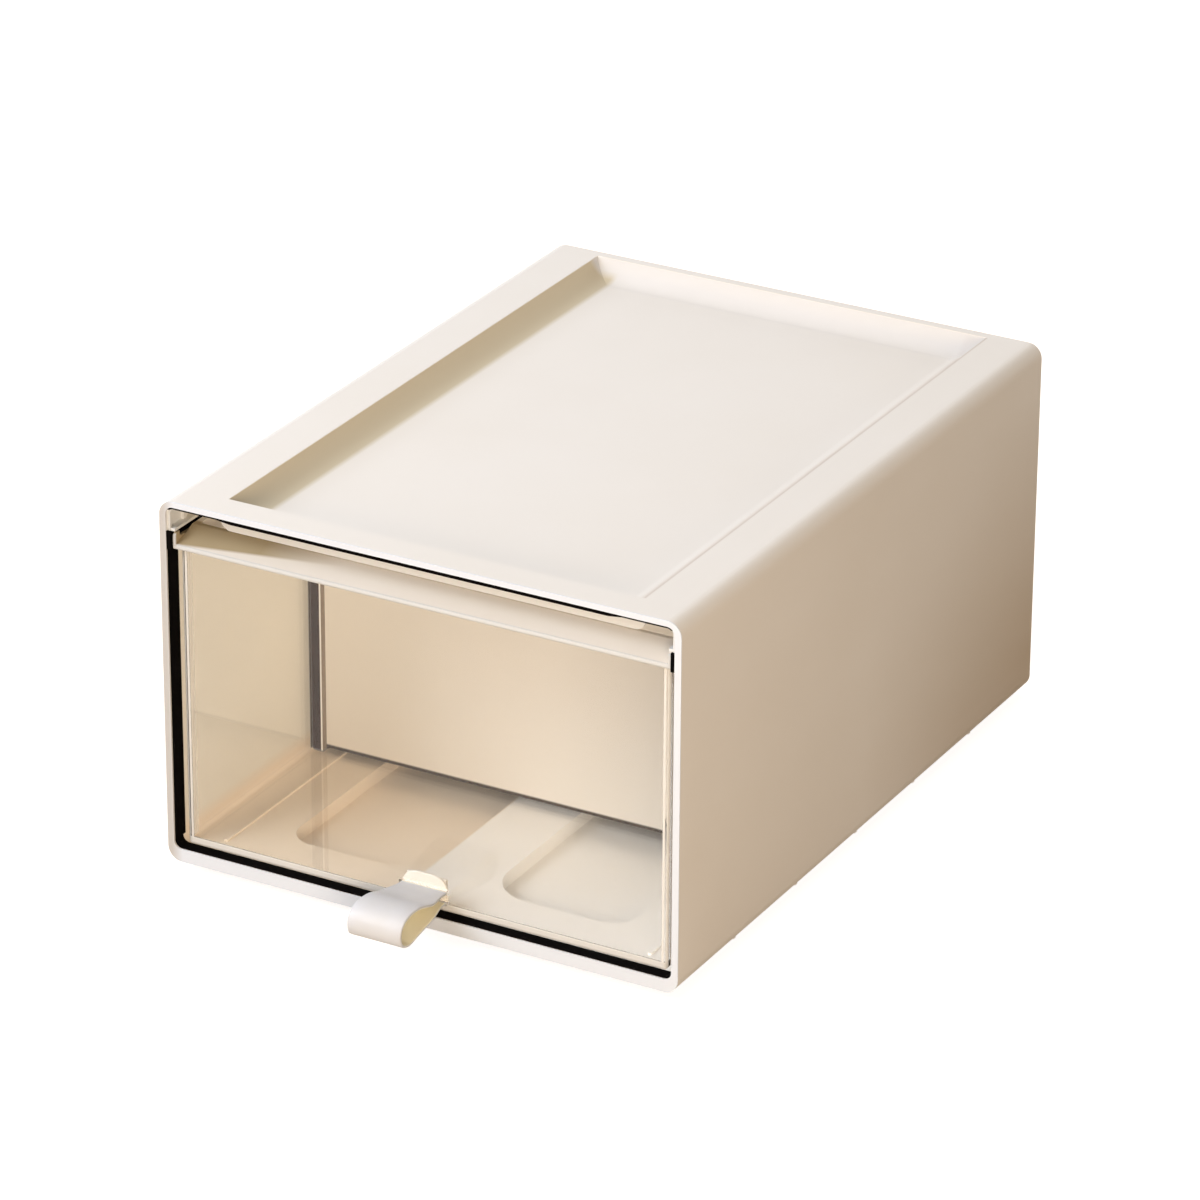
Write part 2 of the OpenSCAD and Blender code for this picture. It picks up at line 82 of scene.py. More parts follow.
def make_camera():
    """The camera at the reference view: a long lens from the right front, above."""
    data = bpy.data.cameras.new("camera")
    data.lens = LENS_MM
    data.sensor_width = SENSOR_MM
    data.clip_start = 0.1
    data.clip_end = 20.0
    camera = bpy.data.objects.new("camera", data)
    forward = Vector((-math.sin(AZIMUTH) * math.cos(ELEVATION),
                      math.cos(AZIMUTH) * math.cos(ELEVATION),
                      -math.sin(ELEVATION)))
    right = Vector((math.cos(AZIMUTH), math.sin(AZIMUTH), 0.0))
    up = right.cross(forward)
    rolled_right = math.cos(ROLL) * right + math.sin(ROLL) * up
    rolled_up = -math.sin(ROLL) * right + math.cos(ROLL) * up
    turn = Matrix((rolled_right, rolled_up, -forward)).transposed().to_4x4()
    camera.matrix_world = Matrix.Translation(CAMERA_PLACE) @ turn
    bpy.context.scene.collection.objects.link(camera)
    bpy.context.scene.camera = camera


# ---- Node helpers ----

class Tree:
    """A material's node tree with short calls for the nodes used here."""

    def __init__(self, name):
        self.material = bpy.data.materials.new(name)
        self.material.use_nodes = True
        self.nodes = self.material.node_tree.nodes
        self.nodes.clear()
        self.output = self.add("ShaderNodeOutputMaterial")
        self.place = self.add("ShaderNodeTexCoord").outputs["Object"]

    def add(self, kind, **settings):
        node = self.nodes.new(kind)
        for key, value in settings.items():
            setattr(node, key, value)
        return node

    def link(self, source, target):
        self.material.node_tree.links.new(source, target)

    def noise(self, scale, detail=2.0, roughness=0.5, stretch=None):
        """Noise of a scale in patches per metre, stretched along the axes if asked."""
        node = self.add("ShaderNodeTexNoise")
        node.inputs["Scale"].default_value = scale
        node.inputs["Detail"].default_value = detail
        node.inputs["Roughness"].default_value = roughness
        if stretch is None:
            self.link(self.place, node.inputs["Vector"])
        else:
            mapping = self.add("ShaderNodeMapping")
            mapping.inputs["Scale"].default_value = stretch
            self.link(self.place, mapping.inputs["Vector"])
            self.link(mapping.outputs["Vector"], node.inputs["Vector"])
        return node.outputs["Fac"]

    def spread(self, value, low, high, start=0.3, end=0.7):
        """A value from start to end, mapped to low to high."""
        node = self.add("ShaderNodeMapRange")
        node.inputs["From Min"].default_value = start
        node.inputs["From Max"].default_value = end
        node.inputs["To Min"].default_value = low
        node.inputs["To Max"].default_value = high
        self.link(value, node.inputs["Value"])
        return node.outputs["Result"]

    def rise(self, value, start, end):
        """0 up to the start, 1 from the end on."""
        return self.spread(value, 0.0, 1.0, start, end)

    def fall(self, value, start, end):
        """1 up to the start, 0 from the end on."""
        return self.spread(value, 1.0, 0.0, start, end)

    def distance(self, value, centre):
        """How far a value is from a centre, either way."""
        less = self.add("ShaderNodeMath", operation="SUBTRACT")
        self.link(value, less.inputs[0])
        less.inputs[1].default_value = centre
        size = self.add("ShaderNodeMath", operation="ABSOLUTE")
        self.link(less.outputs["Value"], size.inputs[0])
        return size.outputs["Value"]

    def times(self, *factors):
        """The product of the factors."""
        product = factors[0]
        for factor in factors[1:]:
            node = self.add("ShaderNodeMath", operation="MULTIPLY")
            self.link(product, node.inputs[0])
            self.link(factor, node.inputs[1])
            product = node.outputs["Value"]
        return product

    def larger(self, first, second):
        """The larger one of two values."""
        node = self.add("ShaderNodeMath", operation="MAXIMUM")
        self.link(first, node.inputs[0])
        self.link(second, node.inputs[1])
        return node.outputs["Value"]

    def blend_colours(self, factor, first, second):
        """The first colour where the factor is 0, the second where it is 1."""
        node = self.add("ShaderNodeMix", data_type="RGBA")
        self.link(factor, node.inputs["Factor"])
        for socket, colour in ((node.inputs["A"], first), (node.inputs["B"], second)):
            if isinstance(colour, tuple):
                socket.default_value = (*colour, 1.0)
            else:
                self.link(colour, socket)
        return node.outputs["Result"]

    def bump(self, height, strength, distance, normal=None):
        """Relief of a depth in metres, laid over another relief if one is given."""
        node = self.add("ShaderNodeBump")
        node.inputs["Strength"].default_value = strength
        node.inputs["Distance"].default_value = distance
        self.link(height, node.inputs["Height"])
        if normal is not None:
            self.link(normal, node.inputs["Normal"])
        return node.outputs["Normal"]


# ---- Places on the pieces ----
# Each function gives a value that is 1 at its place and 0 elsewhere, with a short fade
# between. It is worked out from the node's own coordinates, which are the frame's.

def between_the_walls(tree, axes):
    """1 between the case's side walls, 0 in them."""
    across = tree.distance(axes.outputs["X"], 0.0)
    return tree.fall(across, CASE_HIGH.x - 2.8 * MM, CASE_HIGH.x - 2.6 * MM)


def case_hollow(tree, axes):
    """1 on the case's inner faces, where painted light makes the cream brighter."""
    height = tree.distance(axes.outputs["Z"], HOLLOW_MIDDLE * MM)
    return tree.times(
        between_the_walls(tree, axes),
        tree.fall(height, (HOLLOW_HALF - 0.5) * MM, HOLLOW_HALF * MM),
        tree.rise(axes.outputs["Y"], CASE_LOW.y + 2 * MM, CASE_LOW.y + 12 * MM),
        tree.fall(axes.outputs["Y"], CASE_HIGH.y - 2.8 * MM, CASE_HIGH.y - 2.6 * MM))


def case_floor(tree, axes):
    """1 on the floor inside the case, over the middle strip and the right foot, where painted
    light makes it near white.
    """
    right = tree.rise(axes.outputs["X"], (-FOOT_STRIP - 1) * MM, (-FOOT_STRIP + 1) * MM)
    return tree.times(low_inside(tree, axes), right)


def case_floor_left(tree, axes):
    """1 on the floor inside the case, over the left foot, where painted shade makes it warmer
    and less bright.
    """
    left = tree.fall(axes.outputs["X"], (-FOOT_STRIP - 1) * MM, (-FOOT_STRIP + 1) * MM)
    return tree.times(low_inside(tree, axes), left)


def low_inside(tree, axes):
    """1 on the floor inside the case."""
    low = tree.fall(axes.outputs["Z"], 14 * MM, 20 * MM)
    return tree.times(low, case_hollow(tree, axes))


def right_side_shade(tree, axes):
    """Up to 1 on the case's right side, low at the back, where painted shade darkens it."""
    return tree.times(
        tree.spread(axes.outputs["Y"], 0.0, 0.8, 0.0, CASE_HIGH.y),
        tree.fall(axes.outputs["Z"], 20 * MM, CASE_HIGH.z - 20 * MM),
        tree.rise(axes.outputs["X"], CASE_HIGH.x - 2.4 * MM, CASE_HIGH.x - 1.2 * MM),
        tree.fall(axes.outputs["Y"], CASE_HIGH.y - 0.5 * MM, CASE_HIGH.y - 0.2 * MM))


def case_mouth(tree, axes):
    """1 on the narrow front face round the case's mouth, where painted light gives a paler,
    cooler tone.
    """
    return tree.fall(axes.outputs["Y"], CASE_LOW.y + 0.3 * MM, CASE_LOW.y + 0.6 * MM)


def mouth_left_shade_place(tree, axes):
    """1 on that face's left side, where painted shade darkens it."""
    left = tree.fall(axes.outputs["X"], CASE_LOW.x + 2 * MM, CASE_LOW.x + 7 * MM)
    return tree.times(left, case_mouth(tree, axes))


def case_ledge(tree, axes):
    """1 on the ledges and the guides just inside the mouth's upper edge, where painted shade
    gives a greyer, darker tone.
    """
    return tree.times(
        tree.rise(axes.outputs["Z"], 150 * MM, 152 * MM),
        between_the_walls(tree, axes),
        tree.fall(axes.outputs["Z"], CASE_HIGH.z - 2.3 * MM, CASE_HIGH.z - 2.1 * MM),
        tree.fall(axes.outputs["Y"], CASE_LOW.y + 10 * MM, CASE_LOW.y + 18 * MM))


def tray_right(tree, axes):
    """1 on the tray's right wall, where painted shade tones down the highlight it catches."""
    front = CASE_LOW.y + TRAY_FRONT * MM
    back = CASE_HIGH.y - TRAY_BACK * MM
    along = tree.distance(axes.outputs["Y"], (front + back) / 2)
    half = (back - front) / 2
    return tree.times(
        tree.rise(axes.outputs["Z"], CASE_HIGH.z - 7.6 * MM, CASE_HIGH.z - 6.8 * MM),
        tree.rise(axes.outputs["X"], (TRAY_HALF - TRAY_SWEEP + 1) * MM,
                  (TRAY_HALF - 8) * MM),
        tree.fall(axes.outputs["X"], (TRAY_HALF + 0.5) * MM, (TRAY_HALF + 1.1) * MM),
        tree.fall(along, half - 0.5 * MM, half))


def tray_back(tree, axes):
    """Up to 1 on the tray's back wall, where painted shade darkens it."""
    across = tree.distance(axes.outputs["X"], 0.0)
    wall = CASE_HIGH.y - TRAY_BACK * MM
    return tree.times(
        tray_height(tree, axes),
        tree.spread(axes.outputs["Y"], 0.0, 0.8, CASE_HIGH.y - 20 * MM,
                    CASE_HIGH.y - 9 * MM),
        tree.fall(axes.outputs["Y"], wall + 0.5 * MM, wall + 1 * MM),
        tree.fall(across, (TRAY_HALF + 0.5) * MM, (TRAY_HALF + 1) * MM))


def tray_left(tree, axes):
    """1 on the tray's left wall, where painted shade darkens it to olive."""
    return tree.times(
        tree.fall(axes.outputs["X"], (TRAY_SWEEP - TRAY_HALF - 1) * MM,
                  (TRAY_SWEEP - TRAY_HALF + 2) * MM),
        tree.rise(axes.outputs["X"], (-TRAY_HALF - 1) * MM, -TRAY_HALF * MM),
        tray_height(tree, axes),
        tree.fall(axes.outputs["Y"], CASE_HIGH.y - 12 * MM, CASE_HIGH.y - 8 * MM))


def tray_height(tree, axes):
    """1 at the height of the tray, 0 on the case's top face and under the tray."""
    return tree.times(
        tree.fall(axes.outputs["Z"], CASE_HIGH.z - 0.35 * MM, CASE_HIGH.z - 0.1 * MM),
        tree.rise(axes.outputs["Z"], CASE_HIGH.z - 8.6 * MM, CASE_HIGH.z - 8.2 * MM))


def everywhere(tree, axes):
    """1 all over, but for the faintest cloud."""
    return tree.spread(tree.noise(14.0, 2.0), 0.85, 1.0, 0.3, 0.6)


def divider_shadow_line(tree, axes):
    """1 along the divider's lower edge, where a painted shadow stands for the shade in the gap
    under it.
    """
    bottom = DIVIDER_LOW.z + DIVIDER_RISE * MM
    return tree.fall(axes.outputs["Z"], bottom + 1.1 * MM, bottom + 1.9 * MM)


def lip_shade_place(tree, axes):
    """1 on the front face of the drawer's rim, where painted shade greys it to tone down its
    highlight.
    """
    return tree.fall(axes.outputs["Y"], RIM_LOW.y + 0.4 * MM, RIM_LOW.y + 0.9 * MM)


def scoop_shadow_place(tree, axes):
    """1 high in the left end of the rim's hollow front, above a line that leans, where a
    painted shadow of the case's top edge falls.
    """
    lean = tree.add("ShaderNodeMath", operation="MULTIPLY_ADD")
    tree.link(axes.outputs["X"], lean.inputs[0])
    lean.inputs[1].default_value = -SCOOP_LEAN
    tree.link(axes.outputs["Z"], lean.inputs[2])
    level = RIM_LOW.z + 2.3 * MM - SCOOP_LEAN * RIM_LOW.x
    return tree.times(
        tree.rise(lean.outputs["Value"], level - 0.3 * MM, level + 0.3 * MM),
        tree.fall(axes.outputs["Y"], RIM_LOW.y + 14 * MM, RIM_LOW.y + 16 * MM),
        tree.fall(axes.outputs["X"], RIM_LOW.x + 38 * MM, RIM_LOW.x + 75 * MM))


def panel_edges(tree, axes):
    """1 on the front panel's face where the floor and the side walls meet it, but for
    the fine dark line of each side wall's inner corner, and round the panel's sides.
    There painted light makes the plastic milky and less clear."""
    inwards = tree.distance(axes.outputs["X"], 0.0)
    corner = tree.distance(inwards, BIN_HIGH.x - 2.1 * MM)
    beside = tree.times(
        tree.rise(inwards, BIN_HIGH.x - 3.6 * MM, BIN_HIGH.x - 3.3 * MM),
        tree.rise(corner, 0.2 * MM, 0.35 * MM))
    below = tree.fall(axes.outputs["Z"], BIN_LOW.z + 3.3 * MM, BIN_LOW.z + 3.7 * MM)
    front = tree.fall(axes.outputs["Y"], BIN_LOW.y + 0.9 * MM, BIN_LOW.y + 1.2 * MM)
    outside = tree.rise(inwards, BIN_HIGH.x - 0.5 * MM, BIN_HIGH.x - 0.2 * MM)
    ahead = tree.fall(axes.outputs["Y"], BIN_LOW.y + 6 * MM, BIN_LOW.y + 9 * MM)
    return tree.larger(tree.times(front, tree.larger(beside, below)),
                       tree.times(outside, ahead))


def guide_roots(tree, axes):
    """1 in the guides, but for their tips, 0 elsewhere: where painted shade turns the plastic
    dark amber.
    """
    wall = BIN_HIGH.x - GUIDE_WALL * MM
    across = tree.distance(axes.outputs["X"], 0.0)
    return tree.times(tree.rise(across, wall - 4.2 * MM, wall - 3.9 * MM),
                      by_the_guides(tree, axes))


def guide_tips(tree, axes):
    """1 on the guides' ends, which face the middle of the drawer and get a lighter painted
    shade.
    """
    across = tree.distance(tree.distance(axes.outputs["X"], 0.0), GUIDE_END)
    return tree.times(tree.fall(across, 0.1 * MM, 0.3 * MM), by_the_guides(tree, axes))


def in_the_guides(tree, axes):
    """1 in the guides as far as their ends, where the plastic is made nearly opaque to carry
    the painted shade.
    """
    across = tree.distance(axes.outputs["X"], 0.0)
    return tree.times(tree.rise(across, GUIDE_END - 0.4 * MM, GUIDE_END - 0.2 * MM),
                      by_the_guides(tree, axes))


def by_the_guides(tree, axes):
    """1 near the divider's plane, above the drawer's floor."""
    middle = (DIVIDER_LOW.y + DIVIDER_HIGH.y) / 2
    along = tree.distance(axes.outputs["Y"], middle)
    return tree.times(
        tree.fall(along, 4.6 * MM, 5.2 * MM),
        tree.rise(axes.outputs["Z"], BIN_LOW.z + 2.2 * MM, BIN_LOW.z + 3 * MM))


# ---- Materials ----

CREAM = (0.860, 0.805, 0.735)
CREAM_DEEP = (0.835, 0.775, 0.695)          # the darker clouds in it
# Painted light: a brighter copy of the cream on the case's inner faces.
CREAM_LIT_INSIDE = (0.935, 0.905, 0.815)        # the case's inner faces
# Painted light and shade on the floor inside: near white over the middle strip and the right
# foot, warmer and less bright over the left foot, as if the left wall shaded it.
CREAM_LIT_FLOOR = (0.990, 0.980, 0.960)        # the floor inside, right
CREAM_SHADED_FLOOR_LEFT = (0.940, 0.815, 0.665)    # the floor inside, left
# Painted shade: a greyer tone on the ledges, darker than the lit inner faces.
LEDGE_SHADE = (0.830, 0.835, 0.830)         # the ledges behind the mouth
# Painted shade: the right side darkens towards the back and the bottom, as if the light fell
# off there.
SIDE_SHADE_LOW_BACK = (0.500, 0.380, 0.250)      # the right side, low at the back
# Painted shade on the tray's walls: the right wall darkened to hide its highlight, the back
# wall darkened, the left wall shaded olive.
TRAY_RIGHT_SHADE = (0.700, 0.620, 0.540)    # the tray's walls
TRAY_BACK_SHADE = (0.720, 0.690, 0.660)
TRAY_LEFT_SHADE = (0.655, 0.565, 0.410)
# Painted light: a paler, cooler copy of the cream on the narrow face round the mouth.
CREAM_EDGE = (0.795, 0.835, 0.905)          # the narrow face round the mouth
# Painted shade: the left side of that face is darker, as if turned from the light.
MOUTH_LEFT_SHADE = (0.600, 0.575, 0.550)
CREAM_DIVIDER = (0.830, 0.795, 0.735)
# Painted shadow: a near-black line along the divider's lower edge.
SEAM_SHADE = (0.050, 0.030, 0.018)          # the divider's lower edge
# Painted shade: the rim's front face is greyed to tone down its bright highlight.
LIP_SHADE = (0.690, 0.690, 0.680)           # the rim's front face
# Painted shadow: the case's top edge shading the left end of the rim's scoop.
SCOOP_SHADE = (0.450, 0.360, 0.225)         # the left end of its scoop
CLEAR = (0.996, 0.993, 0.986)
# Painted shade in the divider's guides: dark amber at their roots, lighter brown at their
# ends, for how thick clear plastic looks dark there.
GUIDE_SHADE = (0.035, 0.014, 0.005)         # through the guides' depth
GUIDE_TIP_SHADE = (0.300, 0.240, 0.180)           # the guides' ends
# Painted light: the panel's edges turn milky and less clear, for the light gathered in thick
# clear plastic.
PANEL_EDGE_LIGHT = (0.91, 0.885, 0.84)           # the front panel's edges
CLEAR_TO_LAMPS = (0.995, 0.992, 0.985)
EDGE_CLARITY = 0.15                         # how clear the plastic is at those edges
GUIDE_CLARITY = 0.05                        # and in the guides
# The black lining round the mouth; its black stands partly for the deep shade in the gaps
# round the drawer.
LINING_BLACK = (0.0015, 0.0012, 0.001)
LINING_GREY = (0.004, 0.003, 0.003)
STRAP_WHITE = (0.705, 0.710, 0.740)
STRAP_DEEP = (0.695, 0.688, 0.688)
# Painted light: the loop's inner face is warm yellow, for the light bounced inside the loop.
LOOP_INSIDE_LIGHT = (0.960, 0.900, 0.700)        # the loop's inner face
# Painted light: the tail behind the panel is paler and warmer than the band.
TAIL_LIGHT_TONE = (0.970, 0.930, 0.860)          # the tail behind the panel
FLOOR_PALE = (0.49, 0.42, 0.34)
GLOW_NEAR, GLOW_FAR = 0.88, 1.0             # the floor's glow by the object and far out
GLOW_REACH = (0.6, 2.2)                     # where it starts and ends to rise, in metres
WORLD_WARM = (1.0, 0.80, 0.62)
WORLD_FILL = 0.10


def cream_plastic(name, tones=()):
    """Satin polypropylene: a soft mottle, a fine orange peel and uneven gloss. The
    tones are pairs of a colour and the function that gives the place it has; most
    of them are painted light and shade."""
    t = Tree(name)
    shader = t.add("ShaderNodeBsdfPrincipled")
    axes = t.add("ShaderNodeSeparateXYZ")
    t.link(t.place, axes.inputs["Vector"])
    mottle = t.noise(9.0, 4.0, 0.55)
    cloud = t.spread(mottle, 0.0, 1.0, 0.25, 0.75)
    colour = t.blend_colours(cloud, CREAM, CREAM_DEEP)
    for tone, place in tones:
        colour = t.blend_colours(place(t, axes), colour, tone)
    t.link(colour, shader.inputs["Base Color"])
    flow = t.noise(35.0, 3.0, 0.6, (1.0, 0.25, 1.0))
    t.link(t.spread(flow, 0.52, 0.66), shader.inputs["Roughness"])
    peel = t.bump(t.noise(2600.0, 2.0), 0.12, 0.00006)
    t.link(t.bump(t.noise(240.0, 2.0), 0.05, 0.0003, peel), shader.inputs["Normal"])
    shader.inputs["IOR"].default_value = 1.49
    shader.inputs["Specular IOR Level"].default_value = 0.1
    t.link(shader.outputs["BSDF"], t.output.inputs["Surface"])
    return t.material


def clear_plastic():
    """Clear polystyrene: real refraction for the eye, and open to the lamps' light.
    Painted shade turns it dark amber where the divider's guides join the walls, and
    painted light makes it milky along the panel's edges, where thick clear plastic
    gathers light."""
    t = Tree("clear_plastic")
    shader = t.add("ShaderNodeBsdfPrincipled")
    axes = t.add("ShaderNodeSeparateXYZ")
    t.link(t.place, axes.inputs["Vector"])
    roots, edges = guide_roots(t, axes), panel_edges(t, axes)
    tinted = t.blend_colours(roots, CLEAR, GUIDE_SHADE)
    tipped = t.blend_colours(guide_tips(t, axes), tinted, GUIDE_TIP_SHADE)
    t.link(t.blend_colours(edges, tipped, PANEL_EDGE_LIGHT), shader.inputs["Base Color"])
    shader.inputs["IOR"].default_value = 1.36
    shader.inputs["Specular IOR Level"].default_value = 0.14
    clarity = t.times(t.spread(edges, 1.0, EDGE_CLARITY, 0.0, 1.0),
                      t.spread(in_the_guides(t, axes), 1.0, GUIDE_CLARITY, 0.0, 1.0))
    t.link(clarity, shader.inputs["Transmission Weight"])
    t.link(t.spread(t.noise(60.0, 3.0), 0.004, 0.02), shader.inputs["Roughness"])
    t.link(t.bump(t.noise(22.0, 2.0), 0.015, 0.0005), shader.inputs["Normal"])
    through = t.add("ShaderNodeBsdfTransparent")
    through.inputs["Color"].default_value = (*CLEAR_TO_LAMPS, 1.0)
    rays = t.add("ShaderNodeLightPath")
    surface = shader.outputs["BSDF"]
    for kind in ("Is Shadow Ray", "Is Diffuse Ray"):
        mix = t.add("ShaderNodeMixShader")
        t.link(rays.outputs[kind], mix.inputs["Fac"])
        t.link(surface, mix.inputs[1])
        t.link(through.outputs["BSDF"], mix.inputs[2])
        surface = mix.outputs["Shader"]
    t.link(surface, t.output.inputs["Surface"])
    return t.material


def dark_lining():
    """Matt black lining round the case's mouth. Its black stands partly for the deep shade in
    the gaps round the drawer.
    """
    t = Tree("dark_lining")
    shader = t.add("ShaderNodeBsdfPrincipled")
    grain = t.spread(t.noise(900.0, 3.0), 0.0, 1.0)
    t.link(t.blend_colours(grain, LINING_BLACK, LINING_GREY), shader.inputs["Base Color"])
    shader.inputs["Specular IOR Level"].default_value = 0.05
    t.link(t.spread(grain, 0.85, 1.0, 0.0, 1.0), shader.inputs["Roughness"])
    t.link(t.bump(t.noise(1500.0, 2.0), 0.3, 0.0001), shader.inputs["Normal"])
    t.link(shader.outputs["BSDF"], t.output.inputs["Surface"])
    return t.material


def soft_strap():
    """Off-white elastomer with a fine grain and a satin sheen. Painted light makes the loop's
    inner face warm yellow and the tail behind the panel paler.
    """
    t = Tree("soft_strap")
    shader = t.add("ShaderNodeBsdfPrincipled")
    cloud = t.spread(t.noise(70.0, 3.0), 0.0, 1.0)
    outside = t.blend_colours(cloud, STRAP_WHITE, STRAP_DEEP)
    inner = t.add("ShaderNodeAttribute", attribute_name="inner").outputs["Fac"]
    looped = t.blend_colours(inner, outside, LOOP_INSIDE_LIGHT)
    tail = t.rise(inner, IN_LOOP + 0.2, IN_TAIL - 0.2)
    t.link(t.blend_colours(tail, looped, TAIL_LIGHT_TONE), shader.inputs["Base Color"])
    t.link(t.spread(t.noise(420.0, 2.0), 0.42, 0.6), shader.inputs["Roughness"])
    cells = t.add("ShaderNodeTexVoronoi", feature="DISTANCE_TO_EDGE")
    cells.inputs["Scale"].default_value = 1500.0
    t.link(t.place, cells.inputs["Vector"])
    t.link(t.bump(cells.outputs["Distance"], 0.10, 0.0001), shader.inputs["Normal"])
    shader.inputs["Sheen Weight"].default_value = 0.15
    t.link(shader.outputs["BSDF"], t.output.inputs["Surface"])
    return t.material


def floor_material():
    """A pale floor that meets the white background, with the object's shadow on it. Its
    glow is seen but lights nothing, and rises to the background's white far out."""
    t = Tree("pale_floor")
    matt = t.add("ShaderNodeBsdfDiffuse")
    matt.inputs["Color"].default_value = (*FLOOR_PALE, 1.0)
    glow = t.add("ShaderNodeEmission")
    away = t.add("ShaderNodeVectorMath", operation="LENGTH")
    t.link(t.place, away.inputs[0])
    t.link(t.spread(away.outputs["Value"], GLOW_NEAR, GLOW_FAR, *GLOW_REACH),
           glow.inputs["Strength"])
    both = t.add("ShaderNodeAddShader")
    t.link(matt.outputs["BSDF"], both.inputs[0])
    t.link(glow.outputs["Emission"], both.inputs[1])
    mix = t.add("ShaderNodeMixShader")
    t.link(seen_rays(t), mix.inputs["Fac"])
    t.link(matt.outputs["BSDF"], mix.inputs[1])
    t.link(both.outputs["Shader"], mix.inputs[2])
    t.link(mix.outputs["Shader"], t.output.inputs["Surface"])
    return t.material


def seen_rays(tree):
    """1 for rays that show the background: from the camera, a gloss or a glass."""
    rays = tree.add("ShaderNodeLightPath")
    either = tree.larger(rays.outputs["Is Camera Ray"], rays.outputs["Is Glossy Ray"])
    return tree.larger(either, rays.outputs["Is Transmission Ray"])


# ---- Strap ----

PANEL_WALL = 2.2                # the bin's front panel
STRAP_THICKNESS = 1.2
STRAP_EDGE = 0.42               # rounding of the band's edges
LOOP_HALF_WIDTH = 12.5
NECK_HALF_WIDTH = 10.75
NECK_REACH = (1.5, 14.0)        # the band widens over this reach in front of the panel
TAIL_RISE = 8.35                # the tail's top above the middle of the web
TAIL_CORNER = 7.0               # rounding of the tail's top corners
SLOT_HEIGHT = 1.95              # the necks' middle above and below the web's middle
BEND_RADIUS = 0.75              # where the tail turns into the lower slot
BEND_STEPS = 6
ROW_STEP = 0.8
LOOP_STEPS = 10                 # steps between two points of the loop
IN_LOOP, IN_TAIL = 1.0, 2.0     # what the attribute "inner" says there, 0 elsewhere
# The loop's middle line, as (reach in front of the panel, height above the web's middle)
LOOP = [(0, 1.95), (7, 2.7), (14, 3.8), (22, 6.3), (29, 7), (34.4, 5.9), (37.5, 3.2),
        (38.4, -0.2), (37.4, -3.6), (34.6, -5.4), (30.8, -6), (25.5, -5), (18.5, -3.8),
        (11, -2.6), (5, -2.1), (0, -1.95)]


def smooth_curve(points, steps):
    """A Catmull-Rom curve through 2D points."""
    points = [Vector(p) for p in points]
    result = []
    last = len(points) - 1
    for i in range(last):
        a, b = points[max(i - 1, 0)], points[i]
        c, d = points[i + 1], points[min(i + 2, last)]
        for k in range(steps):
            t = k / steps
            result.append(0.5 * (2 * b + (c - a) * t + (2 * a - 5 * b + 4 * c - d) * t * t
                                 + (3 * b - a - 3 * c + d) * t ** 3))
    result.append(points[last])
    return result


def strap_path():
    """The band's middle line: down the tail, out at the lower slot, round the loop and
    in at the upper slot, where it meets the tail."""
    inside = -PANEL_WALL - STRAP_THICKNESS / 2
    path = [Vector((inside, TAIL_RISE)), Vector((inside, BEND_RADIUS - SLOT_HEIGHT))]
    for k in range(1, BEND_STEPS + 1):
        turn = math.pi + math.pi / 2 * k / BEND_STEPS
        path.append(Vector((inside + BEND_RADIUS * (1 + math.cos(turn)),
                            BEND_RADIUS * (1 + math.sin(turn)) - SLOT_HEIGHT)))
    path += reversed(smooth_curve(LOOP, LOOP_STEPS))
    path.append(Vector((-PANEL_WALL, SLOT_HEIGHT)))
    return path


def even_steps(path, step):
    """The path again, with points about a step apart, and how far along each one is."""
    lengths = [0.0]
    for a, b in zip(path, path[1:]):
        lengths.append(lengths[-1] + (b - a).length)
    count = round(lengths[-1] / step)
    result, i = [], 0
    for k in range(count + 1):
        along = lengths[-1] * k / count
        while i < len(path) - 2 and lengths[i + 1] < along:
            i += 1
        part = (along - lengths[i]) / max(lengths[i + 1] - lengths[i], 1e-9)
        result.append((path[i].lerp(path[i + 1], part), along))
    return result


def strap_half_width(point, along):
    """Half the band's width: narrow at the slots, wider in the loop, with round corners
    at the tail's end."""
    low, high = NECK_REACH
    part = min(max((point.x - low) / (high - low), 0.0), 1.0)
    half = NECK_HALF_WIDTH + (LOOP_HALF_WIDTH - NECK_HALF_WIDTH) * part * part * (3 - 2 * part)
    if along < TAIL_CORNER:
        rest = TAIL_CORNER - along
        half -= TAIL_CORNER - math.sqrt(max(TAIL_CORNER ** 2 - rest ** 2, 0.25))
    return half


def band_ring(half_width):
    """A rectangle with round corners, as (across, through) in mm."""
    ring = []
    half = STRAP_THICKNESS / 2
    corners = ((1, 1), (-1, 1), (-1, -1), (1, -1))
    for quarter, (sx, sz) in enumerate(corners):
        for k in range(4):
            turn = math.pi / 2 * (quarter + k / 3)
            ring.append((sx * (half_width - STRAP_EDGE) + STRAP_EDGE * math.cos(turn),
                         sz * (half - STRAP_EDGE) + STRAP_EDGE * math.sin(turn)))
        if quarter in (0, 2):                   # along the flat faces
            across = 1 if quarter == 0 else -1
            ring += [(across * half_width * f, sz * half) for f in (0.6, 0.2, -0.2, -0.6)]
    return ring


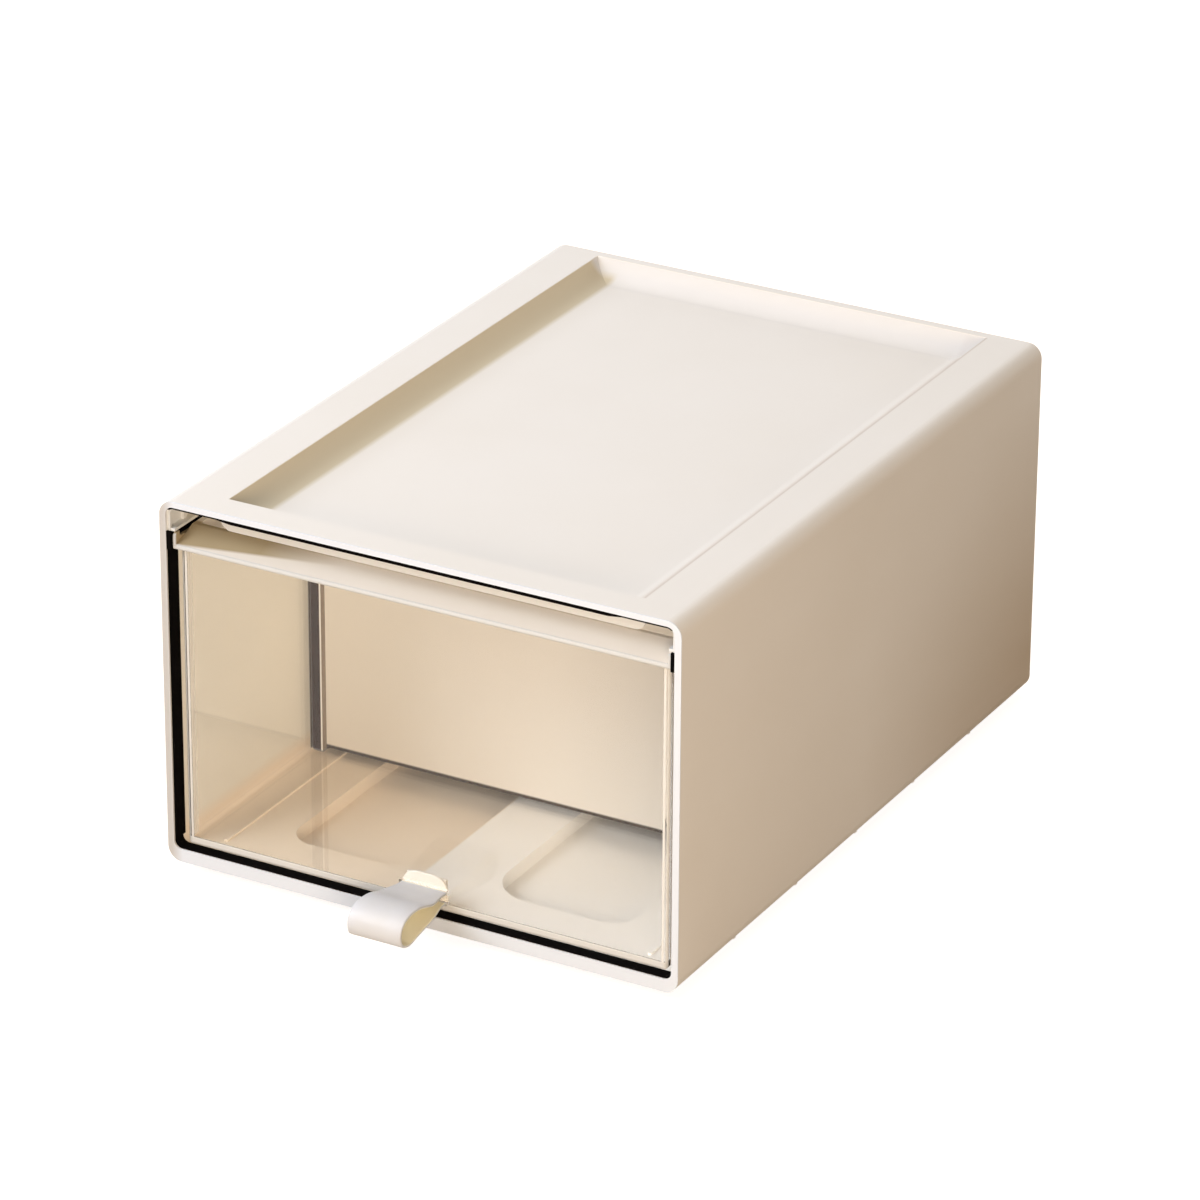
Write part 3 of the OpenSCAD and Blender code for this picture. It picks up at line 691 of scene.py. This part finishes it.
def make_strap(material):
    """The soft pull: a flat band with round edges, swept along its loop and its tail."""
    panel_y = BIN_LOW.y / MM
    web_z = STRAP_HIGH.z / MM - TAIL_RISE
    rows = even_steps(strap_path(), ROW_STEP)
    build = bmesh.new()
    rings, inside = [], []
    for i, (point, along) in enumerate(rows):
        ahead = (rows[min(i + 1, len(rows) - 1)][0] - rows[max(i - 1, 0)][0]).normalized()
        normal = Vector((-ahead.y, ahead.x))
        ring = []
        for across, through in band_ring(strap_half_width(point, along)):
            spot = point + normal * through
            inside.append(IN_LOOP if point.x > 1.0 and through > STRAP_THICKNESS / 4 else
                          IN_TAIL if point.x < -1.0 else 0.0)
            ring.append(build.verts.new(Vector((across, panel_y - spot.x, web_z + spot.y))
                                        * MM))
        rings.append(ring)
    for first, second in zip(rings, rings[1:]):
        for k in range(len(first)):
            m = (k + 1) % len(first)
            build.faces.new((first[k], first[m], second[m], second[k]))
    build.faces.new(rings[0])
    build.faces.new(list(reversed(rings[-1])))
    bmesh.ops.recalc_face_normals(build, faces=build.faces)
    mesh = bpy.data.meshes.new("strap_band")
    build.to_mesh(mesh)
    build.free()
    mesh.polygons.foreach_set("use_smooth", [True] * len(mesh.polygons))
    inner = mesh.attributes.new("inner", "FLOAT", "POINT")
    inner.data.foreach_set("value", inside)
    mesh.materials.append(material)
    piece = bpy.data.objects.new("strap_band", mesh)
    bpy.context.scene.collection.objects.link(piece)
    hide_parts("pull_strap")
    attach(piece, "drawer")


# ---- Dressing the CAD nodes ----

# The case's and the rim's tones are painted light and shade; the divider's all-over tone is
# its own colour, its lower edge a painted shadow.
CASE_TONES = ((CREAM_LIT_INSIDE, case_hollow), (CREAM_LIT_FLOOR, case_floor),
              (CREAM_SHADED_FLOOR_LEFT, case_floor_left), (LEDGE_SHADE, case_ledge),
              (SIDE_SHADE_LOW_BACK, right_side_shade), (TRAY_RIGHT_SHADE, tray_right),
              (TRAY_BACK_SHADE, tray_back), (TRAY_LEFT_SHADE, tray_left),
              (CREAM_EDGE, case_mouth),
              (MOUTH_LEFT_SHADE, mouth_left_shade_place))
RIM_TONES = ((SCOOP_SHADE, scoop_shadow_place), (LIP_SHADE, lip_shade_place))
DIVIDER_TONES = ((CREAM_DIVIDER, everywhere), (SEAM_SHADE, divider_shadow_line))


def dress(name, material):
    """Gives a CAD node its one material."""
    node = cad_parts[name]
    node.data.materials.clear()
    node.data.materials.append(material)
    return node


def soften(node, width, segments=3, angle=35.0):
    """Rounds a moulded node's hard edges."""
    flat = node.modifiers.new("flat", "DECIMATE")
    flat.decimate_type = "DISSOLVE"
    flat.angle_limit = math.radians(1.0)
    bevel = node.modifiers.new("edges", "BEVEL")
    bevel.width = width
    bevel.segments = segments
    bevel.limit_method = "ANGLE"
    bevel.angle_limit = math.radians(angle)
    bevel.harden_normals = True
    bevel.miter_outer = "MITER_ARC"


# ---- Stage ----

def make_floor():
    """A square floor just under the feet, so that the two don't share a plane."""
    mesh = bpy.data.meshes.new("floor")
    half = 3.0
    low = -0.2 * MM
    mesh.from_pydata([(-half, -half, low), (half, -half, low), (half, half, low),
                      (-half, half, low)], [], [(0, 1, 2, 3)])
    floor = bpy.data.objects.new("floor", mesh)
    mesh.materials.append(floor_material())
    bpy.context.scene.collection.objects.link(floor)


def make_world():
    """A weak warm fill for the object, and white for the camera."""
    world = bpy.data.worlds.new("studio")
    world.use_nodes = True
    bpy.context.scene.world = world
    nodes = world.node_tree.nodes
    links = world.node_tree.links
    nodes.clear()
    output = nodes.new("ShaderNodeOutputWorld")
    fill = nodes.new("ShaderNodeBackground")
    fill.inputs["Color"].default_value = (*WORLD_WARM, 1.0)
    fill.inputs["Strength"].default_value = WORLD_FILL
    white = nodes.new("ShaderNodeBackground")
    white.inputs["Strength"].default_value = 1.0
    white.inputs["Color"].default_value = (1.0, 1.0, 1.0, 1.0)
    rays = nodes.new("ShaderNodeLightPath")
    mix = nodes.new("ShaderNodeMixShader")
    links.new(rays.outputs["Is Camera Ray"], mix.inputs["Fac"])
    links.new(fill.outputs["Background"], mix.inputs[1])
    links.new(white.outputs["Background"], mix.inputs[2])
    links.new(mix.outputs["Shader"], output.inputs["Surface"])


def add_lamp(name, place, target, size, watts, colour):
    """A soft box of a width and a height, turned to its target."""
    data = bpy.data.lights.new(name, "AREA")
    data.shape = "RECTANGLE"
    data.size, data.size_y = size
    data.energy = watts
    data.color = colour
    lamp = bpy.data.objects.new(name, data)
    lamp.location = place
    aim = Vector(target) - Vector(place)
    lamp.rotation_euler = aim.to_track_quat("-Z", "Y").to_euler()
    bpy.context.scene.collection.objects.link(lamp)


def make_lamps():
    """Soft boxes round the object, the strongest ones high on the left."""
    middle = (0, 0, 0.08)
    add_lamp("left", (-1.6, -0.2, 1.1), middle, (1.2, 1.0), 21.0, (0.79, 0.85, 1.0))
    add_lamp("front_left", (-1.0, -1.2, 1.4), middle, (1.0, 1.0), 21.0, (0.92, 0.965, 1.0))
    add_lamp("low_left", (-1.2, -1.5, 0.75), middle, (0.8, 0.7), 4.0, (0.90, 0.88, 1.0))
    add_lamp("low_right", (0.7, -1.2, 0.34), middle, (0.8, 0.4), 11.0, (1.0, 0.84, 0.66))
    add_lamp("above", (0.1, 0.4, 1.9), (0, 0, 0.1), (1.4, 1.4), 11.4, (0.97, 0.98, 1.0))
    add_lamp("back", (0.3, 1.7, 0.45), middle, (1.4, 0.8), 12.5, (1.0, 0.98, 0.96))


# ---- Build ----

make_camera()
black = dark_lining()
dress("case_body", cream_plastic("case_plastic", CASE_TONES))
dress("drawer_rim", cream_plastic("rim_plastic", RIM_TONES))
dress("divider", cream_plastic("divider_plastic", DIVIDER_TONES))
dress("strap_anchor", cream_plastic("anchor_plastic"))
for node_name in ("mouth_lining", "top_lining"):
    dress(node_name, black)
dress("drawer_bin", clear_plastic())
make_strap(soft_strap())

for node_name, width in (("case_body", 0.5), ("drawer_rim", 0.5), ("divider", 0.4),
                         ("drawer_bin", 0.3), ("strap_anchor", 0.3)):
    soften(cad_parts[node_name], width * MM)

make_floor()
make_world()
make_lamps()

scene = bpy.context.scene
scene.view_settings.view_transform = "Standard"
